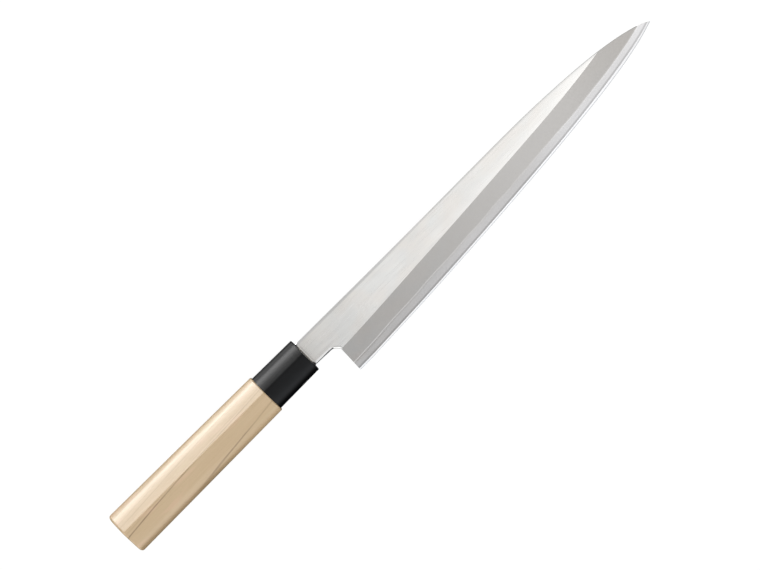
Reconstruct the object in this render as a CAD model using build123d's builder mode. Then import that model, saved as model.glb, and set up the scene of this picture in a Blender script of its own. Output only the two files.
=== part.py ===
"""Yanagiba: a single-bevel Japanese slicing knife, lying on its hollow-ground back.

Frame: +X runs along the handle axis to the tip, +Y is the spine side and -Y the edge side, and +Z is the
normal of the bevelled face. The origin is under the middle of the knife's outer box, on the surface below it.
All lengths are millimetres. Lengths along the knife are counted from the front face of the ferrule, heights
from the handle's axis, and FRONT, AXIS and LIFT carry them into the frame.
"""

import os
from math import cos, radians, sin, sqrt, tan

from build123d import *

os.makedirs("parts", exist_ok=True)

# ---------------------------------------------------------------- placing
FRONT = -52.99  # x of the ferrule's front face
AXIS = 6.015  # y of the handle's axis
LIFT = 9.29  # z of the handle's axis above the surface below

# ---------------------------------------------------------------- handle and ferrule
WOOD_BUTT = -118.00  # the butt's end face
WOOD_FRONT = -25.30  # the shoulder that meets the ferrule
WOOD_HALF_BUTT, WOOD_HALF_FRONT = 11.30, 10.48  # half heights, spine to edge
WOOD_RIDGE_BUTT, WOOD_RIDGE_FRONT = 9.60, 8.80  # axis to the ridge
WOOD_BACK_BUTT, WOOD_BACK_FRONT = 9.30, 8.50  # axis to the rounded back
RIDGE_Y = 0.95  # the ridge stands a little to the spine side of the axis
WOOD_SLOPE, FERRULE_SLOPE = 17.0, 14.0  # degrees that the two flats fall away from the ridge
RIDGE_SOFT = 1.60  # radius of the wood's ridge
WOOD_FLAT, WOOD_SIDE = 0.85, 0.75  # how far the flats run out and how upright the sides are, as shares
BUTT_ROUND = 1.20  # rounding of the butt's rim
FRONT_CHAMFER = 0.40  # broken edge of the wood's shoulder
TENON_HALF_Y, TENON_HALF_Z = 7.40, 5.70  # oval tenon that carries the ferrule
TENON_LENGTH = 19.40
POCKET_DEPTH = 19.70
FERRULE_HALF_REAR, FERRULE_HALF_FRONT = 9.60, 9.32
FERRULE_RIDGE_REAR, FERRULE_RIDGE_FRONT = 8.15, 7.90
FERRULE_BACK_REAR, FERRULE_BACK_FRONT = 7.95, 7.70
FERRULE_RIDGE_SOFT = 3.00
FERRULE_FLAT, FERRULE_SIDE = 0.75, 0.65
FERRULE_RIM = 0.25  # broken front rim

# ---------------------------------------------------------------- tang, its socket and the seal
SHOULDER = 0.12  # the neck's rear shoulder, just clear of the ferrule
TANG_TIP = -88.0
TANG_HALF_Y0, TANG_HALF_Y1 = 5.00, 2.60
TANG_HALF_Z0, TANG_HALF_Z1 = 1.50, 1.00
SOCKET_TIP = -90.5
SOCKET_HALF_Y0, SOCKET_HALF_Y1 = 5.60, 3.20
SOCKET_HALF_Z0, SOCKET_HALF_Z1 = 2.30, 1.80
SEAL_Y = -0.50  # it sits to the edge side
SEAL_HALF_Y, SEAL_HALF_Z = 6.40, 1.75
BEAD_LENGTH, BEAD_TOP, BEAD_HALF_Z = 0.55, -5.40, 1.00  # its thicker foot, round the shoulder's lower corner

# ---------------------------------------------------------------- blade
BACK = -1.70  # z of the flat back against the handle's axis
THICKNESS = [  # (x, thickness of the upper flat)
    (0.0, 3.40), (14.0, 3.25), (60.0, 2.95), (110.0, 2.65),
    (150.0, 2.36), (176.0, 2.08), (196.6, 1.82), (210.0, 1.76), (226.0, 1.75),
]
TIP = (224.2, -3.78)
SPINE = [
    (SHOULDER, 6.70), (20.0, 6.62), (40.0, 6.51), (60.0, 6.45), (80.0, 6.47), (100.0, 6.56), (120.0, 6.64), (146.4, 6.61),
    (153.8, 6.47), (161.3, 6.20), (168.7, 5.86), (176.2, 5.43), (183.7, 4.88),
    (191.1, 4.19), (196.7, 3.51), (202.3, 2.68), (209.8, 1.26), (215.4, -0.11),
    (220.0, -1.66), TIP,
]  # fmt: skip
HEEL_X = 14.06  # top of the heel line
HEEL_FOOT = (13.46, -23.33)
EDGE = [
    HEEL_FOOT, (19.6, -23.25), (27.0, -23.02), (34.5, -22.70), (49.4, -22.08),
    (64.3, -21.35), (79.2, -20.52), (94.2, -19.59), (109.1, -18.59), (124.0, -17.51),
    (138.9, -16.35), (153.8, -15.05), (168.7, -13.59), (183.7, -11.93), (191.1, -10.95),
    (198.6, -9.81), (206.0, -8.49), (211.6, -7.31), (217.2, -5.91), (221.0, -4.79), TIP,
]  # fmt: skip
RIDGE_LINE = [  # where the upper flat meets the bevel; past x 197 it runs on outside the blade
    (8.0, -10.24), (23.3, -9.68), (38.2, -8.93), (49.4, -8.27), (60.6, -7.58),
    (79.2, -6.45), (94.2, -5.50), (109.1, -4.53), (124.0, -3.55), (138.9, -2.54),
    (153.8, -1.46), (165.0, -0.50), (176.2, 0.64), (183.7, 1.52), (191.1, 2.53),
    (196.6, 3.37), (209.8, 5.36), (226.0, 7.70),
]  # fmt: skip
STEEL_LINE = [  # the wavy line on the bevel between the soft steel and the cutting steel
    (8.0, -19.00), (14.9, -18.80), (23.3, -18.44), (30.8, -18.05), (38.2, -17.48),
    (49.4, -17.05), (56.9, -16.66), (64.3, -16.05), (71.8, -15.66), (79.2, -15.46),
    (86.7, -14.93), (94.2, -14.38), (101.6, -14.14), (109.1, -13.36), (116.5, -12.88),
    (122.1, -12.74), (127.7, -12.05), (135.2, -11.58), (142.6, -10.84), (150.1, -10.33),
    (157.6, -9.72), (165.0, -9.30), (172.5, -8.52), (179.9, -7.58), (187.4, -6.75),
    (194.9, -5.80), (202.3, -4.58), (209.8, -3.18), (217.5, -1.33), (226.0, 0.80),
]  # fmt: skip
KOBA = [  # (x, width of the narrow bevel at the cutting edge)
    (8.0, 0.93), (49.4, 0.93), (94.2, 0.93), (138.9, 0.97), (165.0, 1.03),
    (183.7, 1.22), (203.0, 1.24), (214.0, 1.08), (226.0, 0.98),
]
KOBA_ANGLE = 16.0
EDGE_LAND = 0.03  # thickness of the very edge
NECK_FOOT = (SHOULDER, -6.72)  # the neck's underside at the ferrule
NECK_END = (11.35, -7.12)  # and where it turns to the heel
NOTCH_END = (HEEL_X, -9.74)
SPINE_CHAMFER, TIP_CHAMFER = 0.25, 0.20
NECK_ROUND, HEEL_ROUND = 0.85, 0.30  # on the bevelled face and on the back
SCARF_X0, SCARF_X1 = 7.60, 12.20  # the cutting steel thins out in the neck

# ---------------------------------------------------------------- hollow in the back
HOLLOW_RIM = 1.90  # flat rim left at the edge and at the spine
HOLLOW_DEPTH = 0.36  # where the blade is broadest
HOLLOW_STATIONS = [12.0, 15.5, 20.0, 27.0, 36.0, 60.0, 85.0, 110.0, 135.0, 160.0, 180.0, 194.0, 203.0, 209.0, 214.0]
HOLLOW_FADE = [
    (12.0, -0.60), (15.5, 0.25), (20.0, 0.72), (27.0, 0.96), (36.0, 1.0), (60.0, 1.0), (160.0, 1.0),
    (180.0, 1.0), (194.0, 0.95), (203.0, 0.70), (209.0, 0.20), (214.0, -0.60),
]  # fmt: skip


def curve(rows):
    """Natural cubic through rows of (x, value), with straight ends."""
    xs, ys = [r[0] for r in rows], [r[1] for r in rows]
    n = len(xs)
    low, mid, up, rhs = [0.0] * n, [1.0] * n, [0.0] * n, [0.0] * n
    for i in range(1, n - 1):
        h0, h1 = xs[i] - xs[i - 1], xs[i + 1] - xs[i]
        low[i], mid[i], up[i] = h0, 2 * (h0 + h1), h1
        rhs[i] = 6 * ((ys[i + 1] - ys[i]) / h1 - (ys[i] - ys[i - 1]) / h0)
    for i in range(1, n):
        w = low[i] / mid[i - 1]
        mid[i] -= w * up[i - 1]
        rhs[i] -= w * rhs[i - 1]
    m = [0.0] * n
    m[-1] = rhs[-1] / mid[-1]
    for i in range(n - 2, -1, -1):
        m[i] = (rhs[i] - up[i] * m[i + 1]) / mid[i]

    def at(x):
        if x <= xs[0]:
            h = xs[1] - xs[0]
            return ys[0] + (x - xs[0]) * ((ys[1] - ys[0]) / h - h * (2 * m[0] + m[1]) / 6)
        if x >= xs[-1]:
            h = xs[-1] - xs[-2]
            return ys[-1] + (x - xs[-1]) * ((ys[-1] - ys[-2]) / h + h * (m[-2] + 2 * m[-1]) / 6)
        i = max(j for j in range(n - 1) if xs[j] <= x)
        h = xs[i + 1] - xs[i]
        a, b = (xs[i + 1] - x) / h, (x - xs[i]) / h
        return a * ys[i] + b * ys[i + 1] + ((a**3 - a) * m[i] + (b**3 - b) * m[i + 1]) * h * h / 6

    return at


thickness, spine_y, edge_y = curve(THICKNESS), curve(SPINE), curve(EDGE)
ridge_y, steel_y, koba_w, hollow_fade = curve(RIDGE_LINE), curve(STEEL_LINE), curve(KOBA), curve(HOLLOW_FADE)


def koba_z(x):
    return EDGE_LAND + koba_w(x) * tan(radians(KOBA_ANGLE))


def bevel_slope(x):
    return (thickness(x) - koba_z(x)) / (ridge_y(x) - edge_y(x) - koba_w(x))


def bevel_z(x, y):
    """Height of the broad bevel over the back."""
    return koba_z(x) + (y - edge_y(x) - koba_w(x)) * bevel_slope(x)


def at(x, y, z=0.0):
    """A point counted from the ferrule's front and the handle's axis."""
    return (FRONT + x, AXIS + y, LIFT + z)


def flat(x, y):
    """The same in a sketch that looks along Z."""
    return (FRONT + x, AXIS + y)


def side(x, z):
    """The same in a sketch that looks along Y."""
    return (FRONT + x, LIFT + z)


def cross(y, z):
    """The same in a sketch that looks along X."""
    return (AXIS + y, LIFT + z)


def strip(stations, low, high):
    """A ruled face between two long curves, each given as y and z over x."""
    a = Edge.make_spline([Vector(*at(x, *low(x))) for x in stations])
    b = Edge.make_spline([Vector(*at(x, *high(x))) for x in stations])
    return Face.make_surface_from_curves(a, b)


# ---------------------------------------------------------------- tools that cut the blade
LONG = [9.0, 20.0, 35.0, 50.0, 65.0, 80.0, 95.0, 110.0, 125.0, 140.0, 155.0, 168.0, 180.0, 190.0, 199.0, 207.0, 214.0, 220.0, 225.5]

bevel_face = strip(
    LONG,
    lambda x: (edge_y(x) - 1.5, BACK + bevel_z(x, edge_y(x) - 1.5)),
    lambda x: (ridge_y(x) + 5.0, BACK + bevel_z(x, ridge_y(x) + 5.0)),
)
bevel_cutter = Solid.extrude(bevel_face, Vector(0, 0, 12))
koba_slope = tan(radians(KOBA_ANGLE))
koba_face = strip(
    LONG,
    lambda x: (edge_y(x) - 1.0, BACK + EDGE_LAND - koba_slope),
    lambda x: (edge_y(x) + koba_w(x) + 1.5, BACK + koba_z(x) + 1.5 * koba_slope),
)
koba_cutter = Solid.extrude(koba_face, Vector(0, 0, 12))
# a fine break along the run from the end of the ridge to the tip
tip_face = strip(
    [188.0, 194.0, 199.0, 204.0, 209.0, 214.0, 218.0, 222.0, 225.5],
    lambda x: (spine_y(x) - 1.2, BACK + bevel_z(x, spine_y(x)) - TIP_CHAMFER + 1.2),
    lambda x: (spine_y(x) + 1.2, BACK + bevel_z(x, spine_y(x)) - TIP_CHAMFER - 1.2),
)
tip_cutter = Solid.extrude(tip_face, Vector(0, 0, 12))

# the wheel-ground hollow: a shallow trough that fades out short of the heel and of the tip
with BuildPart() as hollow_tool:
    for x in HOLLOW_STATIONS:
        low_y, high_y = edge_y(x) + HOLLOW_RIM, spine_y(x) - HOLLOW_RIM
        middle, half = (low_y + high_y) / 2, (high_y - low_y) / 2
        full = HOLLOW_DEPTH * (half / 12.0) ** 1.2
        radius = (half**2 + full**2) / (2 * full)
        crown = full * hollow_fade(x)
        reach = half + 1.2
        foot = crown - radius + sqrt(radius**2 - reach**2)
        with BuildSketch(Plane.YZ.offset(FRONT + x)):
            with BuildLine():
                ThreePointArc(
                    cross(middle - reach, BACK + foot), cross(middle, BACK + crown), cross(middle + reach, BACK + foot)
                )
                Polyline(
                    cross(middle + reach, BACK + foot),
                    cross(middle + reach, BACK - 3.0),
                    cross(middle - reach, BACK - 3.0),
                    cross(middle - reach, BACK + foot),
                )
            make_face()
    loft()

# ---------------------------------------------------------------- the forged blade, before it is told apart into its two steels
with BuildPart() as blade:
    with BuildSketch(Plane.XY.offset(LIFT + BACK)) as outline:
        with BuildLine():
            Spline(*[flat(*p) for p in SPINE])
            Spline(*[flat(*p) for p in reversed(EDGE)])
            Polyline(
                flat(*HEEL_FOOT), flat(*NOTCH_END), flat(*NECK_END), flat(*NECK_FOOT), flat(*SPINE[0])
            )
        make_face()
        for corner, round_ in ((NECK_END, 2.4), (NOTCH_END, 0.9), (NECK_FOOT, 1.3)):
            here = Vector(*flat(*corner), 0)
            fillet(outline.vertices().sort_by_distance(here)[0], round_)
    extrude(amount=5.0)
    with BuildSketch(Plane.XZ.offset(-40)):
        with BuildLine():
            Spline(*[side(x, BACK + t) for x, t in THICKNESS])
            Polyline(
                side(THICKNESS[-1][0], BACK + THICKNESS[-1][1]),
                side(THICKNESS[-1][0], BACK - 1),
                side(THICKNESS[0][0], BACK - 1),
                side(THICKNESS[0][0], BACK + THICKNESS[0][1]),
            )
        make_face()
    extrude(amount=80.0, mode=Mode.INTERSECT)
    # rounded round the neck and down the heel on the bevelled face, lightly on the back
    neck_line = blade.edges().filter_by(lambda e: abs(e.center().Y - AXIS + 6.93) < 0.1 and e.length > 5)
    fillet(neck_line.sort_by(Axis.Z)[-1], NECK_ROUND)
    neck_line = blade.edges().filter_by(lambda e: abs(e.center().Y - AXIS + 6.93) < 0.1 and e.length > 5)
    fillet(neck_line.sort_by(Axis.Z)[0], HEEL_ROUND)
    # the spine's long edges and the shoulder's end corner, which run into each other
    long_edges = blade.edges().filter_by(lambda e: e.length > 190 and e.center().Y > AXIS + 5)
    chamfer(long_edges.sort_by(Axis.Z)[0], SPINE_CHAMFER)
    add(bevel_cutter, mode=Mode.SUBTRACT)
    add(koba_cutter, mode=Mode.SUBTRACT)
    add(tip_cutter, mode=Mode.SUBTRACT)
    add(hollow_tool.part, mode=Mode.SUBTRACT)

# ---------------------------------------------------------------- the line of the weld, and the tang
STEEL_X = [SCARF_X1] + [x for x, _ in STEEL_LINE if x > SCARF_X1 + 1]


def weld_profile():
    """Everything under the weld between the two steels, as it looks along Y."""
    Spline(*[side(x, BACK + bevel_z(x, steel_y(x))) for x in STEEL_X])
    Polyline(
        side(STEEL_X[-1], BACK + bevel_z(STEEL_X[-1], steel_y(STEEL_X[-1]))),
        side(STEEL_X[-1], BACK - 1),
        side(SCARF_X0 - 0.8, BACK - 1),
        side(SCARF_X0, BACK),
        side(STEEL_X[0], BACK + bevel_z(STEEL_X[0], steel_y(STEEL_X[0]))),
    )


with BuildPart() as tang:
    with BuildSketch(Plane.YZ.offset(FRONT + SHOULDER + 1.6)):
        with Locations(cross(0, 0)):
            RectangleRounded(2 * TANG_HALF_Y0, 2 * TANG_HALF_Z0, 0.4)
    with BuildSketch(Plane.YZ.offset(FRONT + TANG_TIP)):
        with Locations(cross(0, 0)):
            RectangleRounded(2 * TANG_HALF_Y1, 2 * TANG_HALF_Z1, 0.4)
    loft()

# ---------------------------------------------------------------- soft steel: flat, spine, bevel down to the wavy line, neck and tang
with BuildPart() as blade_cladding:
    add(blade.part)
    with BuildSketch(Plane.XZ.offset(-40)):
        with BuildLine():
            weld_profile()
        make_face()
    extrude(amount=80.0, mode=Mode.SUBTRACT)
    add(tang.part)

# ---------------------------------------------------------------- cutting steel: hollow-ground back, lower band of the bevel, edge and tip
with BuildPart() as blade_core:
    add(blade.part)
    with BuildSketch(Plane.XZ.offset(-40)):
        with BuildLine():
            weld_profile()
        make_face()
    extrude(amount=80.0, mode=Mode.INTERSECT)


# ---------------------------------------------------------------- chestnut section: two flats meeting at a ridge, and a rounded back
def chestnut(half, ridge, back, slope, soft, run_out, side_share):
    """The ridge is rounded to the radius soft, and the rest is drawn in cubics that meet it in tangent."""
    fall = radians(slope)
    peak = ridge + soft * (1 / cos(fall) - 1)
    inset = soft * sin(fall)  # half width of the rounded ridge
    shoulder = peak - inset * tan(fall)
    run = run_out * (half - RIDGE_Y)
    other = run_out * (half + RIDGE_Y)
    Bezier(
        cross(half, 0), cross(half, side_share * ridge),
        cross(RIDGE_Y + run, peak - run * tan(fall)), cross(RIDGE_Y + inset, shoulder),
    )  # fmt: skip
    ThreePointArc(cross(RIDGE_Y + inset, shoulder), cross(RIDGE_Y, ridge), cross(RIDGE_Y - inset, shoulder))
    Bezier(
        cross(RIDGE_Y - inset, shoulder), cross(RIDGE_Y - other, peak - other * tan(fall)),
        cross(-half, side_share * ridge), cross(-half, 0),
    )  # fmt: skip
    Bezier(cross(-half, 0), cross(-half, -0.62 * back), cross(-0.60 * half, -back), cross(0, -back))
    Bezier(cross(0, -back), cross(0.60 * half, -back), cross(half, -0.62 * back), cross(half, 0))


with BuildPart() as socket:
    with BuildSketch(Plane.YZ.offset(FRONT)):
        with Locations(cross(0, 0)):
            RectangleRounded(2 * SOCKET_HALF_Y0, 2 * SOCKET_HALF_Z0, 1.6)
    with BuildSketch(Plane.YZ.offset(FRONT + SOCKET_TIP)):
        with Locations(cross(0, 0)):
            RectangleRounded(2 * SOCKET_HALF_Y1, 2 * SOCKET_HALF_Z1, 1.6)
    loft()

# ---------------------------------------------------------------- wooden grip with its tenon
with BuildPart() as handle:
    with BuildSketch(Plane.YZ.offset(FRONT + WOOD_BUTT)):
        with BuildLine():
            chestnut(WOOD_HALF_BUTT, WOOD_RIDGE_BUTT, WOOD_BACK_BUTT, WOOD_SLOPE, RIDGE_SOFT, WOOD_FLAT, WOOD_SIDE)
        make_face()
    with BuildSketch(Plane.YZ.offset(FRONT + WOOD_FRONT)):
        with BuildLine():
            chestnut(WOOD_HALF_FRONT, WOOD_RIDGE_FRONT, WOOD_BACK_FRONT, WOOD_SLOPE, RIDGE_SOFT, WOOD_FLAT, WOOD_SIDE)
        make_face()
    loft()
    fillet(handle.faces().sort_by(Axis.X)[0].edges(), BUTT_ROUND)
    chamfer(handle.faces().sort_by(Axis.X)[-1].edges(), FRONT_CHAMFER)
    with BuildSketch(Plane.YZ.offset(FRONT + WOOD_FRONT)):
        with Locations(cross(0, 0)):
            Ellipse(TENON_HALF_Y, TENON_HALF_Z)
    extrude(amount=TENON_LENGTH)
    chamfer(handle.faces().sort_by(Axis.X)[-1].edges(), 0.5)
    add(socket.part, mode=Mode.SUBTRACT)

# ---------------------------------------------------------------- black moulded ferrule
with BuildPart() as ferrule:
    with BuildSketch(Plane.YZ.offset(FRONT + WOOD_FRONT)):
        with BuildLine():
            chestnut(
                FERRULE_HALF_REAR, FERRULE_RIDGE_REAR, FERRULE_BACK_REAR,
                FERRULE_SLOPE, FERRULE_RIDGE_SOFT, FERRULE_FLAT, FERRULE_SIDE,
            )  # fmt: skip
        make_face()
    with BuildSketch(Plane.YZ.offset(FRONT)):
        with BuildLine():
            chestnut(
                FERRULE_HALF_FRONT, FERRULE_RIDGE_FRONT, FERRULE_BACK_FRONT,
                FERRULE_SLOPE, FERRULE_RIDGE_SOFT, FERRULE_FLAT, FERRULE_SIDE,
            )  # fmt: skip
        make_face()
    loft()
    fillet(ferrule.faces().sort_by(Axis.X)[-1].edges(), FERRULE_RIM)
    with BuildSketch(Plane.YZ.offset(FRONT + WOOD_FRONT)):
        with Locations(cross(0, 0)):
            Ellipse(TENON_HALF_Y, TENON_HALF_Z)
    extrude(amount=POCKET_DEPTH, mode=Mode.SUBTRACT)
    add(socket.part, mode=Mode.SUBTRACT)

# ---------------------------------------------------------------- cured resin round the tang
with BuildPart() as tang_adhesive:
    add(socket.part)
    add(tang.part, mode=Mode.SUBTRACT)

# ---------------------------------------------------------------- thin black seal between the ferrule's mouth and the shoulder
with BuildPart() as tang_seal:
    with BuildSketch(Plane.YZ.offset(FRONT)):
        with Locations(cross(SEAL_Y, 0)):
            RectangleRounded(2 * SEAL_HALF_Y, 2 * SEAL_HALF_Z, 0.9)
    extrude(amount=SHOULDER)
    foot = SEAL_Y - SEAL_HALF_Y
    with BuildSketch(Plane.YZ.offset(FRONT)):
        with Locations(cross((foot + BEAD_TOP) / 2, 0)):
            Rectangle(BEAD_TOP - foot, 2 * BEAD_HALF_Z)
    extrude(amount=BEAD_LENGTH)
    add(blade.part, mode=Mode.SUBTRACT)
    add(tang.part, mode=Mode.SUBTRACT)

blade_cladding.part.label = "blade_cladding"
blade_core.part.label = "blade_core"
handle.part.label = "handle"
ferrule.part.label = "ferrule"
tang_adhesive.part.label = "tang_adhesive"
tang_seal.part.label = "tang_seal"

export_step(blade_cladding.part, "parts/blade_cladding.step")
export_step(blade_core.part, "parts/blade_core.step")
export_step(handle.part, "parts/handle.step")
export_step(ferrule.part, "parts/ferrule.step")
export_step(tang_adhesive.part, "parts/tang_adhesive.step")
export_step(tang_seal.part, "parts/tang_seal.step")

for piece in (blade_cladding, blade_core, handle, ferrule, tang_adhesive, tang_seal):
    box = piece.part.bounding_box()
    print(
        piece.part.label, len(piece.part.solids()), round(piece.part.volume, 2),
        [round(v, 3) for v in (*box.min, *box.max)],
    )  # fmt: skip
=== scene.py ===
import math

import bmesh
import bpy
import numpy as np
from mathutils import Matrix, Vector
from mathutils.geometry import delaunay_2d_cdt


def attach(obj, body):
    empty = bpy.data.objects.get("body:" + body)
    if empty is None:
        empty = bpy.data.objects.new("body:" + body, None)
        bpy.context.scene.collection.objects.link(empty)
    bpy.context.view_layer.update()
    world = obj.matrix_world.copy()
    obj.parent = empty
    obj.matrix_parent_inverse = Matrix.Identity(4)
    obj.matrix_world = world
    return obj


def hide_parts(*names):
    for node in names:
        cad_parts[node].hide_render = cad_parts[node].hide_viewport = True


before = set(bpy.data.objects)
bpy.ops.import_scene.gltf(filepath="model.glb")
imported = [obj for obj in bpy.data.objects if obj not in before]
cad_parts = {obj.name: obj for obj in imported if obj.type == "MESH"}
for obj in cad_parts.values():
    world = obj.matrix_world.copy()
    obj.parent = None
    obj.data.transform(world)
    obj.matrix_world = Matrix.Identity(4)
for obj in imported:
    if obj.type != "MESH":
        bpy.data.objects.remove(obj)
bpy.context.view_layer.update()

# The knife as it looks. Lengths along it are millimetres from the front face of the ferrule, heights are
# millimetres from the handle's axis, and place() carries both into the frame, in metres.
FRONT, AXIS, LIFT = -52.99, 6.015, 9.29
BACK = -1.70  # z of the flat back against the handle's axis


def place(x, y, z):
    return (0.001 * (FRONT + x), 0.001 * (AXIS + y), 0.001 * (LIFT + z))


# ---------------------------------------------------------------- the blade's lines
THICKNESS = [
    (0.0, 3.40), (14.0, 3.25), (60.0, 2.95), (110.0, 2.65),
    (150.0, 2.36), (176.0, 2.08), (196.6, 1.82), (210.0, 1.76), (226.0, 1.75),
]  # fmt: skip
SHOULDER = 0.12
TIP = (224.2, -3.78)
SPINE = [
    (SHOULDER, 6.70), (20.0, 6.62), (40.0, 6.51), (60.0, 6.45), (80.0, 6.47), (100.0, 6.56), (120.0, 6.64), (146.4, 6.61),
    (153.8, 6.47), (161.3, 6.20), (168.7, 5.86), (176.2, 5.43), (183.7, 4.88),
    (191.1, 4.19), (196.7, 3.51), (202.3, 2.68), (209.8, 1.26), (215.4, -0.11),
    (220.0, -1.66), TIP,
]  # fmt: skip
HEEL_FOOT = (13.46, -23.33)
EDGE = [
    HEEL_FOOT, (19.6, -23.25), (27.0, -23.02), (34.5, -22.70), (49.4, -22.08),
    (64.3, -21.35), (79.2, -20.52), (94.2, -19.59), (109.1, -18.59), (124.0, -17.51),
    (138.9, -16.35), (153.8, -15.05), (168.7, -13.59), (183.7, -11.93), (191.1, -10.95),
    (198.6, -9.81), (206.0, -8.49), (211.6, -7.31), (217.2, -5.91), (221.0, -4.79), TIP,
]  # fmt: skip
RIDGE_LINE = [
    (8.0, -10.24), (23.3, -9.68), (38.2, -8.93), (49.4, -8.27), (60.6, -7.58),
    (79.2, -6.45), (94.2, -5.50), (109.1, -4.53), (124.0, -3.55), (138.9, -2.54),
    (153.8, -1.46), (165.0, -0.50), (176.2, 0.64), (183.7, 1.52), (191.1, 2.53),
    (196.6, 3.37), (209.8, 5.36), (226.0, 7.70),
]  # fmt: skip
STEEL_LINE = [
    (8.0, -19.00), (14.9, -18.80), (23.3, -18.44), (30.8, -18.05), (38.2, -17.48),
    (49.4, -17.05), (56.9, -16.66), (64.3, -16.05), (71.8, -15.66), (79.2, -15.46),
    (86.7, -14.93), (94.2, -14.38), (101.6, -14.14), (109.1, -13.36), (116.5, -12.88),
    (122.1, -12.74), (127.7, -12.05), (135.2, -11.58), (142.6, -10.84), (150.1, -10.33),
    (157.6, -9.72), (165.0, -9.30), (172.5, -8.52), (179.9, -7.58), (187.4, -6.75),
    (194.9, -5.80), (202.3, -4.58), (209.8, -3.18), (217.5, -1.33), (226.0, 0.80),
]  # fmt: skip
KOBA = [
    (8.0, 0.93), (49.4, 0.93), (94.2, 0.93), (138.9, 0.97), (165.0, 1.03),
    (183.7, 1.22), (203.0, 1.24), (214.0, 1.08), (226.0, 0.98),
]  # fmt: skip
KOBA_SLOPE = math.tan(math.radians(16.0))
EDGE_LAND = 0.03
NECK_FOOT, NECK_END, NOTCH_END = (SHOULDER, -6.72), (11.35, -7.12), (14.06, -9.74)
SPINE_CHAMFER, TIP_CHAMFER = 0.25, 0.20
NECK_ROUND, HEEL_ROUND = 0.85, 0.30
SCARF_X0, SCARF_X1 = 7.60, 12.20
X_END = 223.92  # where the broken tip ends
HOLLOW_RIM, HOLLOW_DEPTH = 1.90, 0.36
HOLLOW_FADE = [
    (12.0, -0.60), (15.5, 0.25), (20.0, 0.72), (27.0, 0.96), (36.0, 1.0), (60.0, 1.0), (160.0, 1.0),
    (180.0, 1.0), (194.0, 0.95), (203.0, 0.70), (209.0, 0.20), (214.0, -0.60),
]  # fmt: skip


def curve(rows):
    """Natural cubic through rows of (x, value), with straight ends."""
    xs, ys = [r[0] for r in rows], [r[1] for r in rows]
    n = len(xs)
    low, mid, up, rhs = [0.0] * n, [1.0] * n, [0.0] * n, [0.0] * n
    for i in range(1, n - 1):
        h0, h1 = xs[i] - xs[i - 1], xs[i + 1] - xs[i]
        low[i], mid[i], up[i] = h0, 2 * (h0 + h1), h1
        rhs[i] = 6 * ((ys[i + 1] - ys[i]) / h1 - (ys[i] - ys[i - 1]) / h0)
    for i in range(1, n):
        w = low[i] / mid[i - 1]
        mid[i] -= w * up[i - 1]
        rhs[i] -= w * rhs[i - 1]
    m = [0.0] * n
    m[-1] = rhs[-1] / mid[-1]
    for i in range(n - 2, -1, -1):
        m[i] = (rhs[i] - up[i] * m[i + 1]) / mid[i]

    def at(x):
        if x <= xs[0]:
            h = xs[1] - xs[0]
            return ys[0] + (x - xs[0]) * ((ys[1] - ys[0]) / h - h * (2 * m[0] + m[1]) / 6)
        if x >= xs[-1]:
            h = xs[-1] - xs[-2]
            return ys[-1] + (x - xs[-1]) * ((ys[-1] - ys[-2]) / h + h * (m[-2] + 2 * m[-1]) / 6)
        i = max(j for j in range(n - 1) if xs[j] <= x)
        h = xs[i + 1] - xs[i]
        a, b = (xs[i + 1] - x) / h, (x - xs[i]) / h
        return a * ys[i] + b * ys[i + 1] + ((a**3 - a) * m[i] + (b**3 - b) * m[i + 1]) * h * h / 6

    return at


def root(f, a, b):
    """Where f changes sign between a and b."""
    fa = f(a)
    for _ in range(60):
        c = (a + b) / 2
        if (f(c) > 0) == (fa > 0):
            a = c
        else:
            b = c
    return (a + b) / 2


thickness, spine_y, edge_y = curve(THICKNESS), curve(SPINE), curve(EDGE)
ridge_y, steel_y, koba_w, hollow_fade = curve(RIDGE_LINE), curve(STEEL_LINE), curve(KOBA), curve(HOLLOW_FADE)


def koba_z(x):
    return EDGE_LAND + koba_w(x) * KOBA_SLOPE


def bevel_slope(x):
    return (thickness(x) - koba_z(x)) / (ridge_y(x) - edge_y(x) - koba_w(x))


def bevel_z(x, y):
    return koba_z(x) + (y - edge_y(x) - koba_w(x)) * bevel_slope(x)


def break_z(x):
    """Height of the spine's broken edge at the very outline."""
    low = thickness(x) - SPINE_CHAMFER
    return min(low, bevel_z(x, spine_y(x)) - TIP_CHAMFER) if x > 188 else low


def faces_z(x, y):
    """The broad faces of the bevelled side, without the breaks of their edges."""
    if x < 12.0:
        return thickness(x)
    return min(thickness(x), bevel_z(x, y), EDGE_LAND + (y - edge_y(x)) * KOBA_SLOPE)


def inner_y(x):
    """Where the break along the spine meets the broad faces."""
    top = spine_y(x)
    return root(lambda y: break_z(x) + top - y - faces_z(x, y), top - 1.2, top)


def weld_z(x):
    if x < SCARF_X1:
        return (x - SCARF_X0) / (SCARF_X1 - SCARF_X0) * bevel_z(SCARF_X1, steel_y(SCARF_X1))
    return bevel_z(x, steel_y(x))


# ---------------------------------------------------------------- the shoulder, neck, notch and heel in plan
def unit(a):
    n = math.hypot(*a)
    return (a[0] / n, a[1] / n)


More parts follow.
